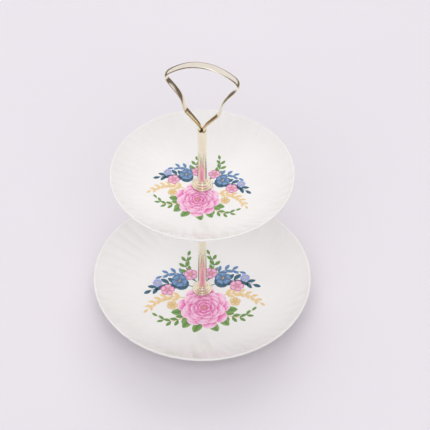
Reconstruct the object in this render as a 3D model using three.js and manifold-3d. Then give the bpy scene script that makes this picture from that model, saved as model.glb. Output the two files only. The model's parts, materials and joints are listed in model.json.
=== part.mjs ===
// Two-tier cake stand: two china plates clamped on a column of two metal tubes, under a bent band handle.
// Millimetres, +Z up. The origin is on the table, on the column's axis.
import * as THREE from "three";
import { mergeVertices } from "three/addons/utils/BufferGeometryUtils.js";
import Module from "manifold-3d";

// Plates
const LOWER_PLATE = { radius: 127, rimTop: 36.5, centreTop: 10, flatRadius: 57, foot: { radius: 64, height: 6 } };
const UPPER_PLATE = { radius: 101.5, rimTop: 205.5, centreTop: 185, flatRadius: 45.5, foot: { radius: 51, height: 5 } };
const PLATE_THICKNESS = 4;
const PLATE_BORE = 3.5;
const RIM_ROUND = 1.4;
const FOOT_HALF_WIDTH = 1.8;
const FOOT_TAPER = 1.4;
const DISH_STEPS = 7;
const RIM_STEPS = 4;
const PLATE_SIDES = 48;

// Column
const TUBE_RADIUS = 5;
const TUBE_BORE = 4;
const INSERT_RADIUS = 3.9;
const INSERT_LENGTH = 14;
const INSERT_BORE = 2.8;
const THREAD_RADIUS = 2.5;
const THREAD_BITE = 11;
const UPPER_TUBE_TOP = 268.3;
const COLUMN_SIDES = 24;

// Collars, flanges and washers
const COLLAR_BORE = 5.05;
const COLLAR_HEIGHT = 6.4;
const FLANGE = { radius: 11.5, bore: 3, thickness: 2 };
const SOFT_WASHER = { radius: 10.5, bore: 3, thickness: 0.8 };
const RUBBER_WASHER = { radius: 11, bore: 3, thickness: 1 };
const BASE_WASHER = { radius: 8, bore: 2.8, thickness: 1 };
const RUNNING_GAP = 0.1;

// Base screw
const SCREW_HEAD = { radius: 4.8, height: 2.8, shoulder: 1.2 };
const RECESS = { width: 1, length: 5, depth: 1.6 };

// Handle: an oval band, and half of its centreline as (sideways, above the tube's open end)
const BAND_WIDTH = 9.2;
const BAND_OUTER_BULGE = 2.2;
const BAND_INNER_BULGE = 1.2;
const BAND_SECTION_STEPS = 24;
const BAND_STEPS = 68;
const LEG_DEPTH = 16;
const LEG_OFFSET = 2.15;
const LEG_WIDTH_SHARE = 0.6;
const LEG_TOP = 2;
const FULL_WIDTH_HEIGHT = 32;
const HANDLE_YAW = THREE.MathUtils.degToRad(-11.5);
const HANDLE_HALF = [
  [LEG_OFFSET, -LEG_DEPTH],
  [LEG_OFFSET, -3],
  [2.3, 3],
  [3.8, 7.2],
  [9.4, 14.8],
  [15.5, 22.6],
  [18.4, 26.8],
  [19.4, 31.6],
  [20.9, 38],
  [23.3, 44.3],
  [28.4, 52.8],
  [36.3, 63.8],
  [38.4, 69.4],
  [36.8, 74.2],
  [30.9, 79.6],
  [20.8, 85.8],
  [10.8, 89.5],
];
const HANDLE_TOP = 90.6;
const WEDGE = { top: 0.8, bottom: 0.4, width: 4, height: 12 };

const china = new THREE.MeshStandardMaterial({ color: 0xf4f3f1, roughness: 0.12, metalness: 0 });
const champagne = new THREE.MeshStandardMaterial({ color: 0xdccba6, roughness: 0.22, metalness: 1 });
const palePolish = new THREE.MeshStandardMaterial({ color: 0xd6cab8, roughness: 0.16, metalness: 1 });
const zinc = new THREE.MeshStandardMaterial({ color: 0xb9bcc0, roughness: 0.35, metalness: 1 });
const brass = new THREE.MeshStandardMaterial({ color: 0xc9a257, roughness: 0.35, metalness: 1 });
const clearSoft = new THREE.MeshStandardMaterial({ color: 0xe9e8e4, roughness: 0.5, metalness: 0 });
const rubber = new THREE.MeshStandardMaterial({ color: 0x2a2a2c, roughness: 0.8, metalness: 0 });

const stand = new THREE.Group();

function addPart(group, name, geometry, material, height) {
  const mesh = new THREE.Mesh(geometry, material);
  mesh.name = name;
  mesh.position.z = height;
  group.add(mesh);
  return mesh;
}

// A body of revolution about Z. The outline runs up its outer side, as [radius, height] pairs.
function turned(outline, sides = COLUMN_SIDES) {
  const points = outline.map(([radius, height]) => new THREE.Vector2(radius, height));
  return new THREE.LatheGeometry(points, sides).rotateX(Math.PI / 2);
}

function ring(bore, radius, height, sides) {
  return turned([[bore, 0], [radius, 0], [radius, height], [bore, height], [bore, 0]], sides);
}

function washer({ bore, radius, thickness }) {
  return ring(bore, radius, thickness);
}

// A flat washer whose outer edge is a full round.
function flangeWasher({ bore, radius, thickness }) {
  const half = thickness / 2;
  const edge = [];
  for (let step = 0; step <= RIM_STEPS; step += 1) {
    const angle = (step / RIM_STEPS - 0.5) * Math.PI;
    edge.push([radius - half + half * Math.cos(angle), half + half * Math.sin(angle)]);
  }
  return turned([[bore, 0], ...edge, [bore, thickness], [bore, 0]]);
}

// A stepped collar: a bead at the bottom, a straight neck and a coved shoulder up to the tube.
function collar() {
  return turned([
    [COLLAR_BORE, 0],
    [9.1, 0],
    [9.8, 0.7],
    [9.8, 1.5],
    [9.1, 2.2],
    [8.4, 2.4],
    [8.4, 3.9],
    [7, 4.7],
    [6.2, COLLAR_HEIGHT],
    [COLLAR_BORE, COLLAR_HEIGHT],
    [COLLAR_BORE, 0],
  ]);
}

// A point on a dished surface: level out to flatRadius, then a parabola that reaches endHeight at endRadius.
function dished(plate, radius, centreHeight, endRadius, endHeight) {
  const share = Math.max(0, radius - plate.flatRadius) / (endRadius - plate.flatRadius);
  return [radius, centreHeight + (endHeight - centreHeight) * share ** 2];
}

function dishStations(plate, from, to) {
  const start = Math.max(from, plate.flatRadius);
  return Array.from({ length: DISH_STEPS }, (_, step) => start + ((to - start) * step) / DISH_STEPS);
}

// A coupe plate with a round rim, a foot ring and a drilled centre. Height 0 is its underside at the centre.
function plateGeometry(plate) {
  const rimTop = plate.rimTop - plate.centreTop + PLATE_THICKNESS;
  const rimCentre = [plate.radius - RIM_ROUND, rimTop - RIM_ROUND];
  const rimStart = -0.3 * Math.PI;
  const rim = [];
  for (let step = 0; step <= RIM_STEPS; step += 1) {
    const angle = rimStart + (step / RIM_STEPS) * Math.PI;
    rim.push([rimCentre[0] + RIM_ROUND * Math.cos(angle), rimCentre[1] + RIM_ROUND * Math.sin(angle)]);
  }
  const [underEnd] = rim;
  const topEnd = rim[RIM_STEPS];
  const { radius: footRadius, height: footHeight } = plate.foot;
  const footBase = FOOT_HALF_WIDTH + FOOT_TAPER;
  const foot = [
    [footRadius - footBase, 0],
    [footRadius - FOOT_HALF_WIDTH, -footHeight],
    [footRadius + FOOT_HALF_WIDTH, -footHeight],
    dished(plate, footRadius + footBase, 0, ...underEnd),
  ];
  const under = dishStations(plate, footRadius + footBase, underEnd[0])
    .slice(1)
    .map((radius) => dished(plate, radius, 0, ...underEnd));
  const top = dishStations(plate, 0, topEnd[0])
    .map((radius) => dished(plate, radius, PLATE_THICKNESS, ...topEnd))
    .reverse();
  const bore = [[PLATE_BORE, PLATE_THICKNESS], [PLATE_BORE, 0]];
  return turned([[PLATE_BORE, 0], ...foot, ...under, ...rim, ...top, ...bore], PLATE_SIDES);
}

const wasm = await Module();
wasm.setup();

function toSolid(geometry) {
  const bare = geometry.clone().deleteAttribute("normal").deleteAttribute("uv");
  const merged = mergeVertices(bare, 1e-4);
  const mesh = new wasm.Mesh({
    numProp: 3,
    vertProperties: merged.attributes.position.array,
    triVerts: new Uint32Array(merged.index.array),
  });
  return new wasm.Manifold(mesh);
}

function toGeometry(solid) {
  const { vertProperties, triVerts } = solid.getMesh();
  const geometry = new THREE.BufferGeometry();
  geometry.setAttribute("position", new THREE.BufferAttribute(vertProperties, 3));
  geometry.setIndex(new THREE.BufferAttribute(triVerts, 1));
  geometry.computeVertexNormals();
  return geometry;
}

// A pan-head screw, head down, with a cross recess in the head. Height 0 is the head's bearing face.
function screwGeometry(shankLength) {
  const { radius, height, shoulder } = SCREW_HEAD;
  const blank = turned([
    [0, -height],
    [radius * 0.7, -height],
    [radius, -shoulder],
    [radius, 0],
    [THREAD_RADIUS, 0],
    [THREAD_RADIUS, shankLength],
    [0, shankLength],
  ]);
  const recessCentre = -height + RECESS.depth / 2;
  const slot = new THREE.BoxGeometry(RECESS.length, RECESS.width, RECESS.depth * 2);
  slot.translate(0, 0, recessCentre - RECESS.depth / 2);
  const crossSlot = slot.clone().rotateZ(Math.PI / 2);
  return toGeometry(toSolid(blank).subtract(toSolid(slot)).subtract(toSolid(crossSlot)));
}

// The band's section: an oval that bulges more on the outside of the loop than on the inside.
function bandSection() {
  const centre = (BAND_INNER_BULGE - BAND_OUTER_BULGE) / 2;
  const points = [];
  for (let step = 0; step < BAND_SECTION_STEPS; step += 1) {
    const angle = (step / BAND_SECTION_STEPS) * 2 * Math.PI;
    const bulge = Math.sin(angle) > 0 ? BAND_OUTER_BULGE : BAND_INNER_BULGE;
    points.push(new THREE.Vector2((BAND_WIDTH / 2) * Math.cos(angle), centre + bulge * Math.sin(angle)));
  }
  return new THREE.Shape(points);
}

function handlePath() {
  const right = HANDLE_HALF.map(([x, z]) => new THREE.Vector3(x, 0, z));
  const top = new THREE.Vector3(0, 0, HANDLE_TOP);
  const left = HANDLE_HALF.map(([x, z]) => new THREE.Vector3(-x, 0, z)).reverse();
  return new THREE.CatmullRomCurve3([...right, top, ...left], false, "centripetal");
}

// The loop lies in the XZ plane, so Y is the band's width. Its legs are narrower, to go into the tube.
function handleBandGeometry() {
  const band = new THREE.ExtrudeGeometry(bandSection(), { steps: BAND_STEPS, extrudePath: handlePath() });
  const position = band.getAttribute("position");
  for (let index = 0; index < position.count; index += 1) {
    const widening = THREE.MathUtils.smoothstep(position.getZ(index), LEG_TOP, FULL_WIDTH_HEIGHT);
    const share = THREE.MathUtils.lerp(LEG_WIDTH_SHARE, 1, widening);
    position.setY(index, position.getY(index) * share);
  }
  return band;
}

// A tapered strip that is driven down between the band's two legs, with its thin edge down.
function wedgeGeometry() {
  const { top, bottom, width, height } = WEDGE;
  const outline = new THREE.Shape();
  outline.moveTo(-bottom / 2, 0);
  outline.lineTo(bottom / 2, 0);
  outline.lineTo(top / 2, height);
  outline.lineTo(-top / 2, height);
  outline.closePath();
  return new THREE.ExtrudeGeometry(outline, { depth: width, bevelEnabled: false })
    .translate(0, 0, -width / 2)
    .rotateX(Math.PI / 2);
}

// A collar and its flange washer, either standing on a plate or turned over to hang under one.
function addFoot(name, flangeBottom, upsideDown) {
  const flangeTop = flangeBottom + FLANGE.thickness;
  addPart(stand, `${name}_flange_washer`, flangeWasher(FLANGE), palePolish, flangeBottom);
  const piece = addPart(stand, `${name}_collar`, collar(), champagne, upsideDown ? flangeBottom : flangeTop);
  piece.rotation.x = upsideDown ? Math.PI : 0;
}

function addTube(name, bottom, top) {
  addPart(stand, name, ring(TUBE_BORE, TUBE_RADIUS, top - bottom), champagne, bottom);
}

function addInsert(name, bottom) {
  addPart(stand, name, ring(INSERT_BORE, INSERT_RADIUS, INSERT_LENGTH), brass, bottom);
}

// Heights in the clamped stack, from the table up.
const lowerUnderside = LOWER_PLATE.centreTop - PLATE_THICKNESS;
const lowerRubberBottom = lowerUnderside - RUBBER_WASHER.thickness;
const baseWasherBottom = lowerRubberBottom - RUNNING_GAP - BASE_WASHER.thickness;
const lowerFlangeBottom = LOWER_PLATE.centreTop + SOFT_WASHER.thickness + RUNNING_GAP;
const lowerTubeBottom = lowerFlangeBottom + FLANGE.thickness;
const upperUnderside = UPPER_PLATE.centreTop - PLATE_THICKNESS;
const upperRubberBottom = upperUnderside - RUBBER_WASHER.thickness;
const lowerTubeTop = upperRubberBottom - RUNNING_GAP - FLANGE.thickness;
const upperFlangeBottom = UPPER_PLATE.centreTop + SOFT_WASHER.thickness + RUNNING_GAP;
const upperTubeBottom = upperFlangeBottom + FLANGE.thickness;

function addLowerTier() {
  const shankLength = lowerTubeBottom + THREAD_BITE - baseWasherBottom;
  addPart(stand, "base_screw", screwGeometry(shankLength), zinc, baseWasherBottom);
  addPart(stand, "base_washer", washer(BASE_WASHER), zinc, baseWasherBottom);
  addPart(stand, "lower_under_washer", washer(RUBBER_WASHER), rubber, lowerRubberBottom);
  addPart(stand, "lower_plate", plateGeometry(LOWER_PLATE), china, lowerUnderside);
  addPart(stand, "lower_top_washer", washer(SOFT_WASHER), clearSoft, LOWER_PLATE.centreTop);
}

function addLowerColumn() {
  addFoot("lower", lowerFlangeBottom, false);
  addTube("lower_tube", lowerTubeBottom, lowerTubeTop);
  addInsert("lower_tube_bottom_insert", lowerTubeBottom);
  addInsert("lower_tube_top_insert", lowerTubeTop - INSERT_LENGTH);
  addFoot("middle", lowerTubeTop, true);
}

function addUpperTier() {
  addPart(stand, "upper_under_washer", washer(RUBBER_WASHER), rubber, upperRubberBottom);
  addPart(stand, "upper_plate", plateGeometry(UPPER_PLATE), china, upperUnderside);
  addPart(stand, "upper_top_washer", washer(SOFT_WASHER), clearSoft, UPPER_PLATE.centreTop);
}

function addUpperColumn() {
  const studBottom = lowerTubeTop - THREAD_BITE;
  const studLength = upperTubeBottom + THREAD_BITE - studBottom;
  const stud = turned([[0, 0], [THREAD_RADIUS, 0], [THREAD_RADIUS, studLength], [0, studLength]]);
  addPart(stand, "tie_stud", stud, zinc, studBottom);
  addFoot("upper", upperFlangeBottom, false);
  addTube("upper_tube", upperTubeBottom, UPPER_TUBE_TOP);
  addInsert("upper_tube_insert", upperTubeBottom);
}

function addHandle() {
  const handle = new THREE.Group();
  handle.position.z = UPPER_TUBE_TOP;
  handle.rotation.z = HANDLE_YAW;
  addPart(handle, "handle_band", handleBandGeometry(), palePolish, 0);
  addPart(handle, "handle_wedge", wedgeGeometry(), zinc, -LEG_DEPTH);
  stand.add(handle);
}

addLowerTier();
addLowerColumn();
addUpperTier();
addUpperColumn();
addHandle();

export default stand;
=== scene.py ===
"""Looks of a two-tier china cake stand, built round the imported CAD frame. Metres, +Z up."""

import json
import math
import random

import bpy
import numpy as np
from mathutils import Matrix, Vector

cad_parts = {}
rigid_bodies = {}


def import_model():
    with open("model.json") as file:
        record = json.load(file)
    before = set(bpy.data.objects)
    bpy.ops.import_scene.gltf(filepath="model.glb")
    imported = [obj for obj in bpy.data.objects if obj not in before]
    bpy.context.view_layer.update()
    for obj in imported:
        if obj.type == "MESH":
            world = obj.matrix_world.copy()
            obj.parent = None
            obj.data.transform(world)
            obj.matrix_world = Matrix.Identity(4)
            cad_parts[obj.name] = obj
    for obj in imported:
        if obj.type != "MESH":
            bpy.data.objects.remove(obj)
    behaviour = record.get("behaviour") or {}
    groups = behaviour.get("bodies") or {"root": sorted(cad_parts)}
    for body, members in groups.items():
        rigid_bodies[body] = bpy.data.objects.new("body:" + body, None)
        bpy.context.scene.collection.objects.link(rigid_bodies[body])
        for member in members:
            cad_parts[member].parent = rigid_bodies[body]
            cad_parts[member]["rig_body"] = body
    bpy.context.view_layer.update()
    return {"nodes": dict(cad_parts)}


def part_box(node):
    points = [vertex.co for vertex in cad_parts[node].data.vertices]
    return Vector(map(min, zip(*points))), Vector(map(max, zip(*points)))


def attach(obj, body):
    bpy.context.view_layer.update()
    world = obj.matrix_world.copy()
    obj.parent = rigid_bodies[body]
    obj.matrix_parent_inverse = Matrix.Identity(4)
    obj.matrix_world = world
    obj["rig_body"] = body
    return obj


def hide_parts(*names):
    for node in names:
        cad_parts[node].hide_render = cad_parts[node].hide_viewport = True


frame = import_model()
MM = 0.001

# Camera: a pinhole fitted to the two rims, which looks down on the stand from the front.
CAMERA_TARGET = Vector((0, 0, 0.1365))
CAMERA_DISTANCE = 1.78007
CAMERA_PITCH = math.radians(46.45)
CAMERA_ROLL = math.radians(0.44)
CAMERA_LENS = 132.66
CAMERA_SENSOR = 36
CAMERA_ASIDE = 0.0143
CAMERA_RAISE = 0.00045

# Light. Each room band is (sine of the height above the horizon, colour).
SKY_COLOUR = (0.565, 0.56, 0.575)
PALE = (0.92, 0.87, 0.8)
BRIGHT = (1.3, 1.28, 1.24)
DIM = (0.18, 0.14, 0.095)
ROOM_BANDS = [(-1, PALE), (-0.42, PALE), (-0.28, DIM), (0, DIM), (0.16, PALE), (1, PALE)]
FRONT_EDGES = (0.1, 0.26)
FRONT_START = (-0.1, -0.5)
FRONT_BANDS = [(-1, PALE), (-0.6, PALE), (-0.45, DIM), (0.5, DIM), (0.7, PALE), (1, PALE)]
SOFTBOXES = {
    # place, size, watts, colour
    "soft_key": ((-0.4, 1.3, 3.6), (3, 2.6), 27, (1, 0.985, 0.975)),
    "front_fill": ((-0.2, -3, 3.4), (4.4, 3), 86, (1, 0.985, 0.99)),
    "back_fill": ((0.3, 3.4, 2.2), (4, 1.6), 48, (1, 0.985, 0.985)),
}
LIT_POINT = Vector((0, 0, 0.1))

# Plates, in millimetres. The rest of each plate's size comes from its CAD node.
PLATES = {
    "lower": {"flat": 57, "foot": 64, "foot_height": 6, "print_turn": 5},
    "upper": {"flat": 45.5, "foot": 51, "foot_height": 5, "print_turn": -12},
}
PLATE_THICKNESS = 4
PLATE_BORE = 3.5
RIM_ROUND = 1.4
FOOT_HALF_WIDTH = 1.8
FOOT_TAPER = 1.4
DISH_STEPS = 44
RIM_STEPS = 10
PLATE_SIDES = 480
FLUTES = 48
FLUTE_DEPTH = 0.8
FLUTE_START = 0.56
FLUTE_FULL = 0.9
FLUTE_SWIRL = math.radians(14)

# Column, in millimetres
TUBE_BORE = 4
TUBE_ROUND = 0.3
INSERT_BORE = 2.8
COLLAR_BORE = 5.05
BEAD_CENTRE = 8.7
BEAD_RADIUS = 1.1
FLANGE_BORE = 3
FLANGE_THICKNESS = 2
WASHER_BORE = 3
BASE_WASHER_BORE = 2.8
THREAD_RADIUS = 2.5
THREAD_DEPTH = 0.42
THREAD_PITCH = 0.8
THREAD_TIP = 0.5
METAL_SIDES = 96
METAL_ROUND = 0.25

# Base screw, in millimetres
HEAD_RADIUS = 4.8
HEAD_HEIGHT = 2.8
HEAD_SHOULDER = 1.2
HEAD_CROWN = 0.72
HEAD_ROUND = 0.8
PLAIN_SHANK = 1.5
RECESS_WIDTH = 1
RECESS_LENGTH = 5
RECESS_DEPTH = 1.6

# Handle, in millimetres: half of the band's centreline as (sideways, above the tube's open end)
BAND_WIDTH = 9.2
BAND_OUTER_BULGE = 2.2
BAND_INNER_BULGE = 1.2
BAND_SECTION_STEPS = 56
BAND_STEPS = 360
LEG_DEPTH = 16
LEG_OFFSET = 2.15
LEG_WIDTH_SHARE = 0.6
LEG_TOP = 2
FULL_WIDTH_HEIGHT = 32
HANDLE_YAW = math.radians(-11.5)
HANDLE_HALF = [
    (LEG_OFFSET, -LEG_DEPTH),
    (LEG_OFFSET, -3),
    (2.3, 3),
    (3.8, 7.2),
    (9.4, 14.8),
    (15.5, 22.6),
    (18.4, 26.8),
    (19.4, 31.6),
    (20.9, 38),
    (23.3, 44.3),
    (28.4, 52.8),
    (36.3, 63.8),
    (38.4, 69.4),
    (36.8, 74.2),
    (30.9, 79.6),
    (20.8, 85.8),
    (10.8, 89.5),
]
HANDLE_TOP = 90.6
HANDLE_FADE = (0.283, 0.315)


# ---------------------------------------------------------------- mesh helpers

def revolve(outline, sides, closed=True):
    """Vertices and faces of a turned body. The outline is (radius, height), and runs up its outer side."""
    verts, rings, faces = [], [], []
    angles = [2 * math.pi * side / sides for side in range(sides)]
    for radius, height in outline:
        if radius < 1e-9:
            rings.append([len(verts)])
            verts.append((0, 0, height))
            continue
        rings.append(list(range(len(verts), len(verts) + sides)))
        verts.extend((radius * math.cos(a), radius * math.sin(a), height) for a in angles)
    pairs = list(zip(rings, rings[1:]))
    if closed:
        pairs.append((rings[-1], rings[0]))
    for low, high in pairs:
        for side in range(sides):
            after = (side + 1) % sides
            if len(low) == 1:
                faces.append((low[0], high[after], high[side]))
            elif len(high) == 1:
                faces.append((low[side], low[after], high[0]))
            else:
                faces.append((low[side], low[after], high[after], high[side]))
    return np.array(verts, float), faces


def rounded(outline, radius, steps=4, closed=True):
    """The outline with each sharp corner off the axis replaced by a small arc."""
    result = []
    count = len(outline)
    for index, corner in enumerate(outline):
        ends = not closed and index in (0, count - 1)
        point = np.array(corner, float)
        before = np.array(outline[index - 1], float) - point
        after = np.array(outline[(index + 1) % count], float) - point
        lengths = np.linalg.norm(before), np.linalg.norm(after)
        cosine = float(before @ after) / (lengths[0] * lengths[1])
        if ends or cosine < -0.97:
            result.append(corner)
            continue
        reach = min(radius, 0.45 * lengths[0], 0.45 * lengths[1])
        start = point + before * (reach / lengths[0])
        end = point + after * (reach / lengths[1])
        for step in range(steps + 1):
            t = step / steps
            result.append(tuple((1 - t) ** 2 * start + 2 * t * (1 - t) * point + t ** 2 * end))
    return result


def add_piece(name, verts, faces, material, body, slot, replaced=None):
    """A smooth piece from vertices in millimetres, which rides on a body and stands for a CAD node."""
    mesh = bpy.data.meshes.new(name)
    mesh.from_pydata([tuple(v) for v in np.asarray(verts) * MM], [], faces)
    mesh.update()
    mesh.materials.append(material)
    mesh.shade_smooth()
    mesh.set_sharp_from_angle(angle=math.radians(40))
    piece = bpy.data.objects.new(name, mesh)
    bpy.context.scene.collection.objects.link(piece)
    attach(piece, body)
    if replaced:
        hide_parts(replaced)
    return piece


def weigh_normals(piece):
    modifier = piece.modifiers.new("flat_faces_stay_flat", "WEIGHTED_NORMAL")
    modifier.keep_sharp = True
    return piece


def node_box(node):
    """(low, high) of a CAD node in millimetres."""
    low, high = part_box(node)
    return low / MM, high / MM


def turned_piece(node, outline, material, slot, sides=METAL_SIDES, flip=False):
    """A turned piece in place of a CAD node. Outline height 0 is the node's foot, or its top if flipped."""
    low, high = node_box(node)
    verts, faces = revolve(outline, sides)
    if flip:
        verts[:, 1:] *= -1
    verts[:, 2] += high.z if flip else low.z
    body = bpy.data.objects[node]["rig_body"]
    return weigh_normals(add_piece(f"{node}_turned", verts, faces, material, body, slot, node))


def smoothstep(low, high, value):
    share = np.clip((value - low) / (high - low), 0, 1)
    return share * share * (3 - 2 * share)


def spline(points, samples_per_span):
    """A centripetal Catmull-Rom curve through the points, as an array of samples."""
    points = [np.array(p, float) for p in points]
    points = [2 * points[0] - points[1], *points, 2 * points[-1] - points[-2]]
    samples = []
    for p0, p1, p2, p3 in zip(points, points[1:], points[2:], points[3:]):
        t0 = 0.0
        t1 = t0 + np.linalg.norm(p1 - p0) ** 0.5
        t2 = t1 + np.linalg.norm(p2 - p1) ** 0.5
        t3 = t2 + np.linalg.norm(p3 - p2) ** 0.5
        for t in np.linspace(t1, t2, samples_per_span, endpoint=False):
            a1 = (t1 - t) / (t1 - t0) * p0 + (t - t0) / (t1 - t0) * p1
            a2 = (t2 - t) / (t2 - t1) * p1 + (t - t1) / (t2 - t1) * p2
            a3 = (t3 - t) / (t3 - t2) * p2 + (t - t2) / (t3 - t2) * p3
            b1 = (t2 - t) / (t2 - t0) * a1 + (t - t0) / (t2 - t0) * a2
            b2 = (t3 - t) / (t3 - t1) * a2 + (t - t1) / (t3 - t1) * a3
            samples.append((t2 - t) / (t2 - t1) * b1 + (t - t1) / (t2 - t1) * b2)
    samples.append(points[-2])
    return np.array(samples)


def evenly(curve, count):
    """The curve resampled at equal steps along its length."""
    lengths = np.concatenate([[0], np.cumsum(np.linalg.norm(np.diff(curve, axis=0), axis=1))])
    wanted = np.linspace(0, lengths[-1], count)
    return np.stack([np.interp(wanted, lengths, curve[:, axis]) for axis in range(curve.shape[1])], 1)


# ---------------------------------------------------------------- materials

class Shader:
    """A Principled material with short ways to add the nodes that these surfaces need."""

    def __init__(self, name, roughness, metallic=0.0):
        self.material = bpy.data.materials.new(name)
        self.material.use_nodes = True
        self.tree = self.material.node_tree
        self.surface = self.tree.nodes["Principled BSDF"]
        self.surface.inputs["Roughness"].default_value = roughness
        self.surface.inputs["Metallic"].default_value = metallic
        self.place = self.tree.nodes.new("ShaderNodeTexCoord").outputs["Object"]

    def link(self, source, target):
        self.tree.links.new(source, target)

    def noise(self, scale, detail=3.0, stretch=(1, 1, 1)):
        mapping = self.tree.nodes.new("ShaderNodeMapping")
        mapping.inputs["Scale"].default_value = stretch
        self.link(self.place, mapping.inputs["Vector"])
        noise = self.tree.nodes.new("ShaderNodeTexNoise")
        noise.inputs["Scale"].default_value = scale
        noise.inputs["Detail"].default_value = detail
        self.link(mapping.outputs["Vector"], noise.inputs["Vector"])
        return noise.outputs["Fac"]

    def ramp(self, value, stops):
        ramp = self.tree.nodes.new("ShaderNodeValToRGB")
        elements = ramp.color_ramp.elements
        while len(elements) < len(stops):
            elements.new(0.5)
        for element, (position, colour) in zip(elements, stops):
            element.position = position
            element.color = (*colour, 1)
        self.link(value, ramp.inputs["Fac"])
        return ramp.outputs["Color"]

    def spread(self, value, low, high):
        remap = self.tree.nodes.new("ShaderNodeMapRange")
        remap.inputs["From Min"].default_value = 0.3
        remap.inputs["From Max"].default_value = 0.7
        remap.inputs["To Min"].default_value = low
        remap.inputs["To Max"].default_value = high
        self.link(value, remap.inputs["Value"])
        return remap.outputs["Result"]

    def mix(self, factor, first, second):
        mix = self.tree.nodes.new("ShaderNodeMix")
        mix.data_type = "RGBA"
        self.link(factor, mix.inputs["Factor"])
        for value, socket in ((first, mix.inputs[6]), (second, mix.inputs[7])):
            if isinstance(value, tuple):
                socket.default_value = (*value, 1)
            else:
                self.link(value, socket)
        return mix.outputs[2]

    def bump(self, height, strength, distance, under=None):
        bump = self.tree.nodes.new("ShaderNodeBump")
        bump.inputs["Strength"].default_value = strength
        bump.inputs["Distance"].default_value = distance
        self.link(height, bump.inputs["Height"])
        if under:
            self.link(under, bump.inputs["Normal"])
        return bump.outputs["Normal"]

    def colour(self, value):
        self.link(value, self.surface.inputs["Base Color"])

    def roughness(self, value):
        self.link(value, self.surface.inputs["Roughness"])

    def normal(self, value):
        self.link(value, self.surface.inputs["Normal"])


def height_mask(shader, low, high):
    """0 below height low and 1 above height high, in metres."""
    split = shader.tree.nodes.new("ShaderNodeSeparateXYZ")
    shader.link(shader.place, split.inputs["Vector"])
    remap = shader.tree.nodes.new("ShaderNodeMapRange")
    remap.inputs["From Min"].default_value = low
    remap.inputs["From Max"].default_value = high
    shader.link(split.outputs["Z"], remap.inputs["Value"])
    return remap.outputs["Result"]


def china_material(name, foot_bottom):
    """Glossy white glaze with a faint ripple and cream mottling, over a bare, matte foot."""
    shader = Shader(name, 0.1)
    glaze = shader.ramp(shader.noise(16, 4), [(0.3, (0.812, 0.798, 0.786)), (0.7, (0.84, 0.829, 0.819))])
    specks = shader.ramp(shader.noise(900, 1), [(0.25, (0.8, 0.78, 0.74)), (0.29, (1, 1, 1))])
    multiply = shader.tree.nodes.new("ShaderNodeMix")
    multiply.data_type = "RGBA"
    multiply.blend_type = "MULTIPLY"
    multiply.inputs["Factor"].default_value = 0.5
    shader.link(glaze, multiply.inputs[6])
    shader.link(specks, multiply.inputs[7])
    biscuit = shader.ramp(shader.noise(500, 5), [(0.3, (0.66, 0.61, 0.53)), (0.7, (0.78, 0.74, 0.66))])
    glazed = height_mask(shader, foot_bottom + 0.0004, foot_bottom + 0.0008)
    shader.colour(shader.mix(glazed, biscuit, multiply.outputs[2]))
    gloss = shader.tree.nodes.new("ShaderNodeMapRange")
    gloss.inputs["To Min"].default_value = 0.75
    gloss.inputs["To Max"].default_value = 0.09
    shader.link(glazed, gloss.inputs["Value"])
    shader.roughness(gloss.outputs["Result"])
    ripple = shader.bump(shader.noise(55, 2), 0.12, 0.0006)
    shader.normal(shader.bump(shader.noise(240, 2), 0.05, 0.0002, ripple))
    shader.surface.inputs["Coat Weight"].default_value = 0.35
    shader.surface.inputs["Coat Roughness"].default_value = 0.04
    return shader.material


def print_material(name):
    """Overglaze print: its colour rides on the vertices, with a little ink mottling and gloss."""
    shader = Shader(name, 0.16)
    ink = shader.tree.nodes.new("ShaderNodeAttribute")
    ink.attribute_name = "ink"
    grain = shader.ramp(shader.noise(1400, 3), [(0.3, (0.9, 0.9, 0.9)), (0.65, (1, 1, 1))])
    multiply = shader.tree.nodes.new("ShaderNodeMix")
    multiply.data_type = "RGBA"
    multiply.blend_type = "MULTIPLY"
    multiply.inputs["Factor"].default_value = 0.6
    shader.link(ink.outputs["Color"], multiply.inputs[6])
    shader.link(grain, multiply.inputs[7])
    shader.colour(multiply.outputs[2])
    shader.roughness(shader.spread(shader.noise(60, 2), 0.12, 0.2))
    shader.surface.inputs["Coat Weight"].default_value = 0.35
    shader.surface.inputs["Coat Roughness"].default_value = 0.04
    return shader.material


def metal_material(name, dark, light, roughness, brush=(1, 1, 1), brush_strength=0.03):
    """Plated metal: faint colour drift, smudges in its polish and fine lines from buffing."""
    shader = Shader(name, roughness, 1.0)
    shader.colour(shader.ramp(shader.noise(45, 4), [(0.3, dark), (0.7, light)]))
    shader.roughness(shader.spread(shader.noise(120, 5), roughness * 0.75, roughness * 1.35))
    shader.normal(shader.bump(shader.noise(700, 3, brush), brush_strength, 0.0001))
    return shader.material


def handle_material():
    """Pale polished plating that turns a warmer gold towards the bottom."""
    shader = Shader("handle_plating", 0.12, 1.0)
    drift = shader.noise(45, 4)
    gold = shader.ramp(drift, [(0.3, (0.82, 0.69, 0.46)), (0.7, (0.9, 0.78, 0.56))])
    pale = shader.ramp(drift, [(0.3, (0.82, 0.785, 0.745)), (0.7, (0.89, 0.865, 0.83))])
    shader.colour(shader.mix(height_mask(shader, *HANDLE_FADE), gold, pale))
    shader.roughness(shader.spread(shader.noise(120, 5), 0.08, 0.16))
    shader.normal(shader.bump(shader.noise(700, 3), 0.03, 0.0001))
    return shader.material


def plastic_material(name, dark, light, roughness, grain):
    shader = Shader(name, roughness)
    shader.colour(shader.ramp(shader.noise(200, 4), [(0.3, dark), (0.7, light)]))
    shader.roughness(shader.spread(shader.noise(90, 3), roughness * 0.8, roughness * 1.2))
    shader.normal(shader.bump(shader.noise(grain, 3), 0.15, 0.0002))
    return shader.material


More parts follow.
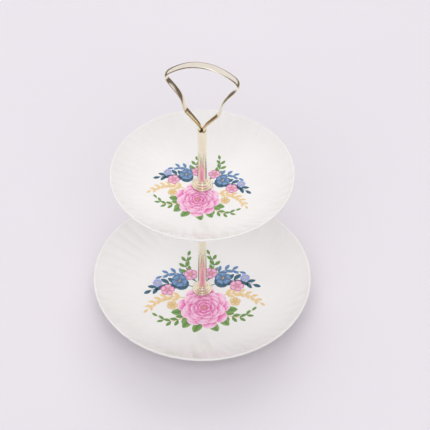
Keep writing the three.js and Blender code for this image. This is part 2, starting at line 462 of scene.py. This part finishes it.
ALONG_COLUMN = (1, 1, 14)
champagne = metal_material("champagne_plating", (0.88, 0.8, 0.64), (0.95, 0.89, 0.76), 0.16, ALONG_COLUMN)
handle_plating = handle_material()
brass = metal_material("machined_brass", (0.6, 0.4, 0.13), (0.72, 0.5, 0.2), 0.32, ALONG_COLUMN, 0.12)
zinc = metal_material("bright_zinc", (0.5, 0.52, 0.55), (0.66, 0.67, 0.68), 0.3, ALONG_COLUMN, 0.1)
clear_soft = plastic_material("soft_clear_plastic", (0.74, 0.74, 0.71), (0.83, 0.83, 0.8), 0.4, 900)
black_rubber = plastic_material("black_rubber", (0.012, 0.012, 0.013), (0.03, 0.03, 0.031), 0.75, 1500)


# ---------------------------------------------------------------- plates

def plate_sizes(tier):
    """What the outline of a tier's plate needs, in millimetres."""
    low, high = node_box(f"{tier}_plate")
    sizes = dict(PLATES[tier])
    sizes["radius"] = high.x
    sizes["rim"] = high.z
    sizes["under"] = low.z + sizes["foot_height"]
    sizes["centre"] = sizes["under"] + PLATE_THICKNESS
    return sizes


def rim_arc(sizes):
    centre = (sizes["radius"] - RIM_ROUND, sizes["rim"] - RIM_ROUND)
    angles = [(-0.3 + step / RIM_STEPS) * math.pi for step in range(RIM_STEPS + 1)]
    return [(centre[0] + RIM_ROUND * math.cos(a), centre[1] + RIM_ROUND * math.sin(a)) for a in angles]


def dished(sizes, radius, centre_height, end):
    """Height of a dished surface: level in the middle, then a parabola up to the point end."""
    share = np.maximum(0, radius - sizes["flat"]) / (end[0] - sizes["flat"])
    return centre_height + (end[1] - centre_height) * share ** 2


def serving_height(sizes, radius):
    """Height of the plate's upper surface at a radius."""
    return dished(sizes, radius, sizes["centre"], rim_arc(sizes)[-1])


def plate_outline(sizes):
    rim = rim_arc(sizes)
    low = sizes["under"] - sizes["foot_height"]
    base = FOOT_HALF_WIDTH + FOOT_TAPER
    inner, outer = sizes["foot"] - base, sizes["foot"] + base
    foot = [
        (PLATE_BORE, sizes["under"]),
        (inner, sizes["under"]),
        (sizes["foot"] - FOOT_HALF_WIDTH, low),
        (sizes["foot"] + FOOT_HALF_WIDTH, low),
        (outer, float(dished(sizes, outer, sizes["under"], rim[0]))),
    ]
    under = np.linspace(outer, rim[0][0], DISH_STEPS)[1:-1]
    top = np.linspace(rim[-1][0], sizes["flat"] * 0.9, DISH_STEPS)[1:]
    surface = [(r, float(dished(sizes, r, sizes["under"], rim[0]))) for r in under]
    serving = [(r, float(serving_height(sizes, r))) for r in top]
    bore = [(PLATE_BORE, sizes["centre"])]
    return rounded([*foot, *surface, *rim, *serving, *bore], 0.9, 5)


def flute_relief(sizes, verts):
    """How far each vertex sinks: shallow, slightly swirled flutes that fade towards the middle."""
    radius = np.hypot(verts[:, 0], verts[:, 1])
    share = radius / sizes["radius"]
    angle = np.arctan2(verts[:, 1], verts[:, 0]) + FLUTE_SWIRL * (1 - share)
    ridge = np.abs(np.cos(angle * FLUTES / 2)) ** 0.8
    depth = smoothstep(FLUTE_START, FLUTE_FULL, share) * (1 - 0.75 * smoothstep(0.97, 1, share))
    return FLUTE_DEPTH * depth * ridge


def add_plate(tier):
    sizes = plate_sizes(tier)
    verts, faces = revolve(plate_outline(sizes), PLATE_SIDES)
    verts[:, 2] -= flute_relief(sizes, verts)
    foot_bottom = (sizes["under"] - sizes["foot_height"]) * MM
    glaze = china_material(f"{tier}_white_glaze", foot_bottom)
    node = f"{tier}_plate"
    add_piece(f"{node}_glazed", verts, faces, glaze, node, f"{tier}_china", node)


# ---------------------------------------------------------------- printed flowers

class Ink:
    """Collects thin closed shapes with a colour at each vertex, laid on a plate's upper surface."""

    THICKNESS = 0.05
    LIFT = 0.03
    LAYER_STEP = 0.016

    def __init__(self, sizes, scale, turn):
        self.sizes = sizes
        self.scale = scale
        self.turn = turn
        self.verts, self.faces, self.colours = [], [], []

    def add_grid(self, points, colours, layer):
        """points is rows x columns x 2 in the print's own millimetres; colours is rows x columns x 3."""
        rows, columns = points.shape[:2]
        flat = points.reshape(-1, 2) * self.scale
        cosine, sine = math.cos(self.turn), math.sin(self.turn)
        x = flat[:, 0] * cosine - flat[:, 1] * sine
        y = flat[:, 0] * sine + flat[:, 1] * cosine
        ground = serving_height(self.sizes, np.hypot(x, y))
        top = ground + self.LIFT + self.LAYER_STEP * layer + self.THICKNESS
        start = sum(len(v) for v in self.verts)
        self.verts.append(np.stack([x, y, top], 1))
        self.verts.append(np.stack([x, y, ground - self.THICKNESS], 1))
        self.colours.append(np.tile(colours.reshape(-1, 3), (2, 1)))
        number = np.arange(rows * columns).reshape(rows, columns) + start
        below = number + rows * columns
        for row in range(rows - 1):
            for column in range(columns - 1):
                quad = [number[row, column], number[row, column + 1]]
                quad += [number[row + 1, column + 1], number[row + 1, column]]
                self.faces.append(tuple(int(v) for v in quad))
                self.faces.append(tuple(int(v) + rows * columns for v in reversed(quad)))
        border = [*number[0], *number[1:, -1], *number[-1, -2::-1], *number[-2:0:-1, 0]]
        under = [*below[0], *below[1:, -1], *below[-1, -2::-1], *below[-2:0:-1, 0]]
        for index in range(len(border)):
            after = (index + 1) % len(border)
            side = (border[after], border[index], under[index], under[after])
            self.faces.append(tuple(int(v) for v in side))

    def add_blade(
        self, base, angle, length, width, shade, layer,
        bend=0.0, blunt=0.5, notch=0.0, rows=16, columns=11,
    ):
        """A petal or leaf from its base along an angle. shade(u, v) colours it: u along, v across."""
        u = np.sin(np.linspace(0, math.pi / 2, rows))[:, None]
        v = np.linspace(-1, 1, columns)[None, :]
        widest = 0.35 + 0.35 * blunt
        rise = np.sin(math.pi / 2 * np.clip(u / widest, 0.02, 1))
        past = np.clip((u - widest) / (1 - widest), 0, 0.9995)
        fall = (1 - past ** (1.2 + 1.6 * blunt)) ** (1.1 - 0.6 * blunt)
        half = width / 2 * np.where(u < widest, rise, fall)
        along = u * length * (1 - notch * np.exp(-(v / 0.3) ** 2) * u ** 3)
        across = half * v + bend * length * u ** 2
        direction = np.array([math.cos(angle), math.sin(angle)])
        normal = np.array([-direction[1], direction[0]])
        points = np.array(base) + along[..., None] * direction + across[..., None] * normal
        shape = (rows, columns)
        colours = shade(np.broadcast_to(u, shape), np.broadcast_to(v, shape))
        self.add_grid(points, colours, layer)

    def add_stem(self, points, width, colour, layer):
        """A thin stroke through the points that narrows towards its end."""
        line = spline(points, 8)
        ahead = np.gradient(line, axis=0)
        ahead /= np.linalg.norm(ahead, axis=1)[:, None]
        normal = np.stack([-ahead[:, 1], ahead[:, 0]], 1)
        half = np.linspace(width, width * 0.45, len(line))[:, None] / 2
        grid = np.stack([line - normal * half, line + normal * half], 1)
        self.add_grid(grid, np.broadcast_to(np.array(colour), (*grid.shape[:2], 3)), layer)

    def make(self, name, material, body, slot):
        piece = add_piece(name, np.concatenate(self.verts), self.faces, material, body, slot)
        layer = piece.data.color_attributes.new("ink", "FLOAT_COLOR", "POINT")
        colours = np.concatenate(self.colours)
        rgba = np.concatenate([colours, np.ones((len(colours), 1))], 1)
        layer.data.foreach_set("color", rgba.ravel().astype(np.float32))
        return piece


def blended(first, second, share):
    share = np.clip(share, 0, 1)[..., None]
    return np.array(first) * (1 - share) + np.array(second) * share


# Linear colours of the inks.
DEEP_PINK = (0.62, 0.03, 0.26)
PINK = (0.83, 0.14, 0.45)
ROSE = (0.87, 0.27, 0.56)
PALE_PINK = (0.93, 0.68, 0.82)
NAVY = (0.018, 0.045, 0.14)
TEAL = (0.03, 0.16, 0.21)
SKY = (0.22, 0.42, 0.72)
LILAC = (0.52, 0.44, 0.74)
LEAF_DARK = (0.03, 0.13, 0.035)
LEAF_LIGHT = (0.24, 0.42, 0.1)
OCHRE = (0.72, 0.46, 0.17)
PALE_OCHRE = (0.86, 0.68, 0.4)
STAMEN = (0.85, 0.66, 0.1)


def petal_shade(base, tip, edge):
    """Colour from base to tip, with fine darker streaks and an outline of its own colour."""
    def shade(u, v):
        body = blended(base, tip, u ** 0.8)
        streaks = 0.3 * np.abs(np.sin(v * 8)) * (1 - 0.6 * u)
        outline = smoothstep(0.72, 0.97, np.maximum(np.abs(v), u))
        return blended(body * (1 - streaks[..., None]), edge, 0.9 * outline * u)
    return shade


def leaf_shade(dark, light):
    """Darker at the midrib and the base, lighter at the margin."""
    def shade(u, v):
        return blended(dark, light, 0.25 + 0.75 * np.abs(v) ** 0.7 * (0.4 + 0.6 * u))
    return shade


BLOOM_CENTRE = (0, -29)
LEAF_DEGREES = (-170, -138, -108, -75, -43, -12)
ROSETTE_ROWS = [
    # petals, length, width, base colour, tip colour
    (9, 31, 18, DEEP_PINK, PINK),
    (9, 26, 16, DEEP_PINK, ROSE),
    (8, 21, 14, DEEP_PINK, PINK),
    (7, 16, 12, DEEP_PINK, ROSE),
    (6, 11, 9, DEEP_PINK, PINK),
    (5, 6.5, 6, DEEP_PINK, ROSE),
]


def add_rosette(ink, centre, seed):
    """A plain many-petalled bloom seen from above: rows of petals round a few stamens."""
    rng = random.Random(seed)
    for row, (petals, length, width, base, tip) in enumerate(ROSETTE_ROWS):
        for petal in range(petals):
            angle = 2 * math.pi * (petal + 0.5 * (row % 2)) / petals + rng.uniform(-0.07, 0.07)
            size = rng.uniform(0.92, 1.05)
            layer = 5 + row * 3 + petal % 3
            bend = rng.uniform(-0.08, 0.08)
            notch = rng.uniform(0, 0.09)
            shade = petal_shade(base, tip, PALE_PINK)
            ink.add_blade(centre, angle, length * size, width * size, shade, layer, bend, 0.95, notch)
    add_stamens(ink, centre, 9, 2.2, 24)


def add_stamens(ink, centre, count, ring, layer):
    for dot in range(count):
        angle = 2 * math.pi * dot / count
        reach = ring if dot % 2 else ring * 0.45
        place = (centre[0] + reach * math.cos(angle) - 0.6, centre[1] + reach * math.sin(angle))
        ink.add_blade(place, 0, 1.3, 1.1, leaf_shade(OCHRE, STAMEN), layer + dot % 2, rows=7, columns=5)


def add_small_bloom(ink, centre, size, tilt, first, second):
    """A five-petalled blossom."""
    shade = petal_shade(first, second, first)
    for petal in range(5):
        angle = tilt + 2 * math.pi * petal / 5
        ink.add_blade(centre, angle, size, size * 0.9, shade, 10 + petal % 3, 0, 0.95, 0.06, 11, 7)
    add_stamens(ink, centre, 5, size * 0.16, 13)


def add_collar_leaves(ink, centre):
    """Broad leaves that show between the big bloom's outer petals."""
    for index, degrees in enumerate(LEAF_DEGREES):
        angle = math.radians(degrees)
        base = (centre[0] + 16 * math.cos(angle), centre[1] + 16 * math.sin(angle))
        bend = 0.12 if index % 2 else -0.12
        ink.add_blade(base, angle, 23, 11, leaf_shade(LEAF_DARK, LEAF_LIGHT), 4, bend, 0.6)


def add_sprig(ink, points, pairs, leaf, dark, light, stem):
    """A curved stem with leaves in pairs and one at its tip."""
    ink.add_stem(points, 1.1, stem, 1)
    line = evenly(spline(points, 8), pairs + 2)
    shade = leaf_shade(dark, light)
    for index in range(1, pairs + 2):
        ahead = line[index] - line[index - 1]
        heading = math.atan2(ahead[1], ahead[0])
        size = leaf * (1 - 0.3 * index / (pairs + 1))
        if index == pairs + 1:
            ink.add_blade(line[index], heading, size, size * 0.46, shade, 3)
            continue
        for side in (-1, 1):
            turn = heading + side * math.radians(44)
            ink.add_blade(line[index], turn, size, size * 0.46, shade, 2 + (side > 0), -side * 0.12)


def mirrored(points, side):
    return [(side * x, y) for x, y in points]


SPRIGS = [
    # points of the right-hand one, pairs of leaves, leaf length, dark, light and stem colours
    ([(8, 4), (26, 10), (44, 11), (60, 3)], 6, 15, NAVY, TEAL, TEAL),
    ([(8, 14), (20, 24), (34, 28), (46, 24)], 4, 12.5, NAVY, SKY, TEAL),
    ([(6, 12), (14, 26), (17, 40), (13, 54)], 4, 12.5, LEAF_DARK, LEAF_LIGHT, LEAF_DARK),
    ([(20, -12), (38, -9), (54, -14), (66, -27)], 6, 11, OCHRE, PALE_OCHRE, OCHRE),
    ([(16, -36), (30, -44), (44, -46), (55, -38)], 4, 11.5, LEAF_DARK, LEAF_LIGHT, OCHRE),
]
BLOSSOMS = [
    # place of the right-hand one, petal length, tilt, inner and outer colours
    ((26, 15), 10, 0.3, NAVY, SKY),
    ((41, 2), 8.5, 1.1, DEEP_PINK, PALE_PINK),
    ((12, 24), 8.5, 0.7, DEEP_PINK, PALE_PINK),
    ((37, -22), 6.5, 0.2, OCHRE, PALE_OCHRE),
    ((52, 14), 6, 0.5, LILAC, SKY),
]


def add_print(tier):
    """A generic bouquet: one pink bloom, small blossoms, and green, blue and ochre sprigs."""
    sizes = plate_sizes(tier)
    scale = sizes["radius"] / node_box("lower_plate")[1].x
    ink = Ink(sizes, scale, math.radians(PLATES[tier]["print_turn"]))
    for side in (-1, 1):
        for points, *rest in SPRIGS:
            add_sprig(ink, mirrored(points, side), *rest)
        for (x, y), size, tilt, first, second in BLOSSOMS:
            add_small_bloom(ink, (side * x, y), size, side * tilt, first, second)
    add_collar_leaves(ink, BLOOM_CENTRE)
    add_rosette(ink, BLOOM_CENTRE, 11)
    ink.make(f"{tier}_print", print_material(f"{tier}_overglaze_print"), f"{tier}_plate", f"{tier}_china")


# ---------------------------------------------------------------- column

def ring_outline(bore, radius, height, corner=METAL_ROUND):
    return rounded([(bore, 0), (radius, 0), (radius, height), (bore, height)], corner)


def flange_outline(radius, thickness):
    """A flat washer with a full round edge."""
    half = thickness / 2
    angles = [(step / 12 - 0.5) * math.pi for step in range(13)]
    edge = [(radius - half + half * math.cos(a), half + half * math.sin(a)) for a in angles]
    return [(FLANGE_BORE, 0), *edge, (FLANGE_BORE, thickness)]


def collar_outline():
    """A bead, a groove, a neck and a coved shoulder that meets the tube."""
    bead_angles = np.linspace(-math.pi / 2, math.pi / 2, 13)
    bead = [
        (BEAD_CENTRE + BEAD_RADIUS * math.cos(a), BEAD_RADIUS + BEAD_RADIUS * math.sin(a))
        for a in bead_angles
    ]
    neck = [(8.05, 2.35), (8.4, 2.6), (8.4, 3.7), (8.2, 4)]
    cove_angles = np.linspace(0.1, math.pi / 2, 11)
    cove = [(8 - 1.9 * math.sin(a), 4.1 + 2.2 * (1 - math.cos(a))) for a in cove_angles]
    return [(COLLAR_BORE, 0), *bead, *neck, *cove, (5.5, 6.4), (COLLAR_BORE, 6.3)]


def insert_outline(radius, length):
    """A plug with shallow barbs that bite into the tube."""
    barbs = []
    for rise in np.arange(1.5, length - 1.5, 1.6):
        barbs += [(radius - 0.25, rise), (radius, rise + 1.1), (radius - 0.25, rise + 1.25)]
    chamfer = 0.5
    return [
        (INSERT_BORE + chamfer, 0), (radius - chamfer, 0), (radius - 0.25, chamfer), *barbs,
        (radius - chamfer, length), (INSERT_BORE + chamfer, length),
        (INSERT_BORE, length - chamfer), (INSERT_BORE, chamfer),
    ]


def cut_thread(verts, low, high):
    """Sinks a helical V into the shank between two heights."""
    radius = np.hypot(verts[:, 0], verts[:, 1])
    shank = (np.abs(radius - THREAD_RADIUS) < 1e-6) & (verts[:, 2] > low) & (verts[:, 2] < high)
    turn = np.arctan2(verts[:, 1], verts[:, 0]) / (2 * math.pi)
    wave = np.abs(((verts[:, 2] / THREAD_PITCH - turn) % 1) * 2 - 1)
    run_in = smoothstep(low, low + THREAD_PITCH, verts[:, 2])
    run_out = 1 - smoothstep(high - THREAD_PITCH, high, verts[:, 2])
    ends = np.minimum(run_in, run_out)
    factor = 1 - THREAD_DEPTH * wave * ends / THREAD_RADIUS
    verts[shank, :2] *= factor[shank, None]
    return verts


def shank_stations(low, high):
    count = int((high - low) / (THREAD_PITCH / 8))
    return [(THREAD_RADIUS, height) for height in np.linspace(low, high, count)]


def add_stud():
    low, high = node_box("tie_stud")
    bottom, top = low.z + THREAD_TIP, high.z - THREAD_TIP
    outline = [(0, low.z), (THREAD_RADIUS - THREAD_TIP, low.z), *shank_stations(bottom, top)]
    outline += [(THREAD_RADIUS - THREAD_TIP, high.z), (0, high.z)]
    verts, faces = revolve(outline, 48, closed=False)
    verts = cut_thread(verts, bottom, top)
    add_piece("tie_stud_threaded", verts, faces, zinc, "handle_column", "zinc_hardware", "tie_stud")


def cross_cutter(height):
    """Two crossed bars, as a throwaway object that cuts the screw's recess."""
    verts, faces = [], []
    for long, short in ((RECESS_LENGTH / 2, RECESS_WIDTH / 2), (RECESS_WIDTH / 2, RECESS_LENGTH / 2)):
        start = len(verts)
        verts += [(x, y, z) for z in (height - 2, height + RECESS_DEPTH) for x, y in
                  ((-long, -short), (long, -short), (long, short), (-long, short))]
        faces += [tuple(start + i for i in face) for face in
                  ((3, 2, 1, 0), (4, 5, 6, 7), (0, 1, 5, 4), (1, 2, 6, 5), (2, 3, 7, 6), (3, 0, 4, 7))]
    mesh = bpy.data.meshes.new("cutter")
    mesh.from_pydata([tuple(c * MM for c in v) for v in verts], [], faces)
    cutter = bpy.data.objects.new("cutter", mesh)
    bpy.context.scene.collection.objects.link(cutter)
    return cutter


def bake_modifiers(piece):
    """Turns the piece's modifiers into plain mesh."""
    graph = bpy.context.evaluated_depsgraph_get()
    final = bpy.data.meshes.new_from_object(piece.evaluated_get(graph))
    piece.modifiers.clear()
    piece.data = final


def add_base_screw():
    low, high = node_box("base_screw")
    seat, top = low.z + HEAD_HEIGHT, high.z - THREAD_TIP
    corners = [
        (0, low.z), (HEAD_RADIUS * HEAD_CROWN, low.z), (HEAD_RADIUS, seat - HEAD_SHOULDER),
        (HEAD_RADIUS, seat), (THREAD_RADIUS, seat),
    ]
    head = rounded(corners, HEAD_ROUND, 6, closed=False)
    outline = [*head[:-1], *shank_stations(seat, top), (THREAD_RADIUS - THREAD_TIP, high.z), (0, high.z)]
    verts, faces = revolve(outline, 48, closed=False)
    verts = cut_thread(verts, seat + PLAIN_SHANK, top)
    names = ("base_screw", "zinc_hardware", "base_screw")
    screw = add_piece("base_screw_threaded", verts, faces, zinc, *names)
    cutter = cross_cutter(low.z)
    cut = screw.modifiers.new("cross_recess", "BOOLEAN")
    cut.operation = "DIFFERENCE"
    cut.use_self = True
    cut.object = cutter
    bake_modifiers(screw)
    bpy.data.objects.remove(cutter)


def add_column():
    for tier, upside_down in (("lower", False), ("middle", True), ("upper", False)):
        flange = flange_outline(node_box(f"{tier}_flange_washer")[1].x, FLANGE_THICKNESS)
        turned_piece(f"{tier}_flange_washer", flange, champagne, "champagne_plate", flip=upside_down)
        turned_piece(f"{tier}_collar", collar_outline(), champagne, "champagne_plate", flip=upside_down)
    for tube in ("lower_tube", "upper_tube"):
        low, high = node_box(tube)
        outline = ring_outline(TUBE_BORE, high.x, high.z - low.z, TUBE_ROUND)
        turned_piece(tube, outline, champagne, "champagne_plate")
    for insert in ("lower_tube_bottom_insert", "lower_tube_top_insert", "upper_tube_insert"):
        low, high = node_box(insert)
        turned_piece(insert, insert_outline(high.x, high.z - low.z), brass, "brass_insert", 64)
    add_stud()
    add_base_screw()


def add_washers():
    kinds = {
        "lower_top_washer": (WASHER_BORE, clear_soft, "clear_washer"),
        "upper_top_washer": (WASHER_BORE, clear_soft, "clear_washer"),
        "lower_under_washer": (WASHER_BORE, black_rubber, "rubber_washer"),
        "upper_under_washer": (WASHER_BORE, black_rubber, "rubber_washer"),
        "base_washer": (BASE_WASHER_BORE, zinc, "zinc_hardware"),
    }
    for node, (bore, material, slot) in kinds.items():
        low, high = node_box(node)
        turned_piece(node, ring_outline(bore, high.x, high.z - low.z), material, slot)


# ---------------------------------------------------------------- handle

def band_section():
    """An oval that bulges more on the outside of the loop than on the inside."""
    centre = (BAND_INNER_BULGE - BAND_OUTER_BULGE) / 2
    points = []
    for step in range(BAND_SECTION_STEPS):
        angle = math.tau * step / BAND_SECTION_STEPS
        bulge = BAND_OUTER_BULGE if math.sin(angle) > 0 else BAND_INNER_BULGE
        points.append((BAND_WIDTH / 2 * math.cos(angle), centre + bulge * math.sin(angle)))
    return points


def band_widths(heights):
    """The band's share of its full width: narrower along the legs, which go down into the tube."""
    return LEG_WIDTH_SHARE + (1 - LEG_WIDTH_SHARE) * smoothstep(LEG_TOP, FULL_WIDTH_HEIGHT, heights)


def add_handle():
    right = list(HANDLE_HALF)
    left = [(-x, z) for x, z in reversed(HANDLE_HALF)]
    line = evenly(spline([*right, (0, HANDLE_TOP), *left], 24), BAND_STEPS)
    ahead = np.gradient(line, axis=0)
    ahead /= np.linalg.norm(ahead, axis=1)[:, None]
    outward = np.stack([ahead[:, 1], -ahead[:, 0]], 1)
    section = band_section()
    tube_top = node_box("upper_tube")[1].z
    verts = []
    for (x, z), (out_x, out_z) in zip(line, outward):
        verts += [(x + out_x * b, -a, z + out_z * b) for a, b in section]
    verts = np.array(verts)
    verts[:, 1] *= band_widths(verts[:, 2])
    count = len(section)
    faces = [
        (ring + i, ring + (i + 1) % count, ring + count + (i + 1) % count, ring + count + i)
        for ring in range(0, (BAND_STEPS - 1) * count, count)
        for i in range(count)
    ]
    faces.append(tuple(reversed(range(count))))
    faces.append(tuple(range((BAND_STEPS - 1) * count, BAND_STEPS * count)))
    turn = np.array(Matrix.Rotation(HANDLE_YAW, 3, "Z"))
    verts = verts @ turn.T + np.array([0, 0, tube_top])
    names = ("handle_column", "handle_plate", "handle_band")
    add_piece("handle_band_bent", verts, faces, handle_plating, *names)


def dress_wedge():
    """The CAD wedge keeps its shape and gets eased edges and its material."""
    wedge = frame["nodes"]["handle_wedge"]
    wedge.data.materials.clear()
    wedge.data.materials.append(zinc)
    bevel = wedge.modifiers.new("eased_edges", "BEVEL")
    bevel.width = 0.08 * MM
    bevel.segments = 2


# ---------------------------------------------------------------- floor, light and camera

def add_floor():
    mesh = bpy.data.meshes.new("floor")
    half = 12
    corners = [(-half, -half, 0), (half, -half, 0), (half, half, 0), (-half, half, 0)]
    mesh.from_pydata(corners, [], [(0, 1, 2, 3)])
    floor = bpy.data.objects.new("floor", mesh)
    bpy.context.scene.collection.objects.link(floor)
    shader = Shader("pale_floor", 0.9)
    shader.colour(shader.ramp(shader.noise(3, 2), [(0.2, (0.75, 0.72, 0.758)), (0.8, (0.76, 0.73, 0.768))]))
    shader.surface.inputs["Specular IOR Level"].default_value = 0.1
    mesh.materials.append(shader.material)
    floor.visible_glossy = False


def add_softbox(name, place, size, watts, colour):
    """A large soft light, which lights the stand without showing in its metal."""
    light = bpy.data.lights.new(name, "AREA")
    light.shape = "RECTANGLE"
    light.size, light.size_y = size
    light.energy = watts
    light.color = colour
    lamp = bpy.data.objects.new(name, light)
    lamp.location = place
    lamp.rotation_euler = (LIT_POINT - Vector(place)).to_track_quat("-Z", "Y").to_euler()
    lamp.visible_glossy = False
    bpy.context.scene.collection.objects.link(lamp)


class Room:
    """The world: an even, pale sky, and what polished metal sees of the room around the stand."""

    def __init__(self):
        self.world = bpy.data.worlds.new("soft_room")
        self.world.use_nodes = True
        self.tree = self.world.node_tree
        direction = self.tree.nodes.new("ShaderNodeTexCoord").outputs["Generated"]
        split = self.tree.nodes.new("ShaderNodeSeparateXYZ")
        self.tree.links.new(direction, split.inputs["Vector"])
        self.sideways, self.ahead, self.up = split.outputs

    def remap(self, value, low, high, smooth=True):
        node = self.tree.nodes.new("ShaderNodeMapRange")
        node.interpolation_type = "SMOOTHSTEP" if smooth else "LINEAR"
        node.inputs["From Min"].default_value = low
        node.inputs["From Max"].default_value = high
        self.tree.links.new(value, node.inputs["Value"])
        return node.outputs["Result"]

    def bands(self, stops):
        ramp = self.tree.nodes.new("ShaderNodeValToRGB")
        elements = ramp.color_ramp.elements
        while len(elements) < len(stops):
            elements.new(0.5)
        for element, (rise, colour) in zip(elements, stops):
            element.position = (rise + 1) / 2
            element.color = (*colour, 1)
        self.tree.links.new(self.remap(self.up, -1, 1, False), ramp.inputs["Fac"])
        return ramp.outputs["Color"]

    def mix(self, factor, first, second):
        node = self.tree.nodes.new("ShaderNodeMix")
        node.data_type = "RGBA"
        self.tree.links.new(factor, node.inputs["Factor"])
        for value, socket in ((first, node.inputs[6]), (second, node.inputs[7])):
            if isinstance(value, tuple):
                socket.default_value = (*value, 1)
            else:
                self.tree.links.new(value, socket)
        return node.outputs[2]


def add_room():
    room = Room()
    aside = room.tree.nodes.new("ShaderNodeMath")
    aside.operation = "ABSOLUTE"
    room.tree.links.new(room.sideways, aside.inputs[0])
    front = room.mix(room.remap(aside.outputs[0], *FRONT_EDGES), BRIGHT, room.bands(FRONT_BANDS))
    seen = room.mix(room.remap(room.ahead, *FRONT_START), room.bands(ROOM_BANDS), front)
    rays = room.tree.nodes.new("ShaderNodeLightPath")
    background = room.tree.nodes["Background"]
    colour = room.mix(rays.outputs["Is Glossy Ray"], SKY_COLOUR, seen)
    room.tree.links.new(colour, background.inputs["Color"])
    bpy.context.scene.world = room.world


def add_camera():
    back = Vector((0, -math.cos(CAMERA_PITCH), math.sin(CAMERA_PITCH)))
    across = Vector((1, 0, 0))
    upward = Vector((0, math.sin(CAMERA_PITCH), math.cos(CAMERA_PITCH)))
    right = across * math.cos(CAMERA_ROLL) + upward * math.sin(CAMERA_ROLL)
    up = upward * math.cos(CAMERA_ROLL) - across * math.sin(CAMERA_ROLL)
    place = CAMERA_TARGET + back * CAMERA_DISTANCE + right * CAMERA_ASIDE + up * CAMERA_RAISE
    data = bpy.data.cameras.new("camera")
    data.lens = CAMERA_LENS
    data.sensor_width = CAMERA_SENSOR
    camera = bpy.data.objects.new("camera", data)
    camera.matrix_world = Matrix.Translation(place) @ Matrix((right, up, back)).transposed().to_4x4()
    bpy.context.scene.collection.objects.link(camera)
    bpy.context.scene.camera = camera


add_camera()
for tier_name in PLATES:
    add_plate(tier_name)
    add_print(tier_name)
add_column()
add_washers()
add_handle()
dress_wedge()
add_floor()
add_room()
for box_name, box in SOFTBOXES.items():
    add_softbox(box_name, *box)
bpy.context.scene.view_settings.view_transform = "Standard"
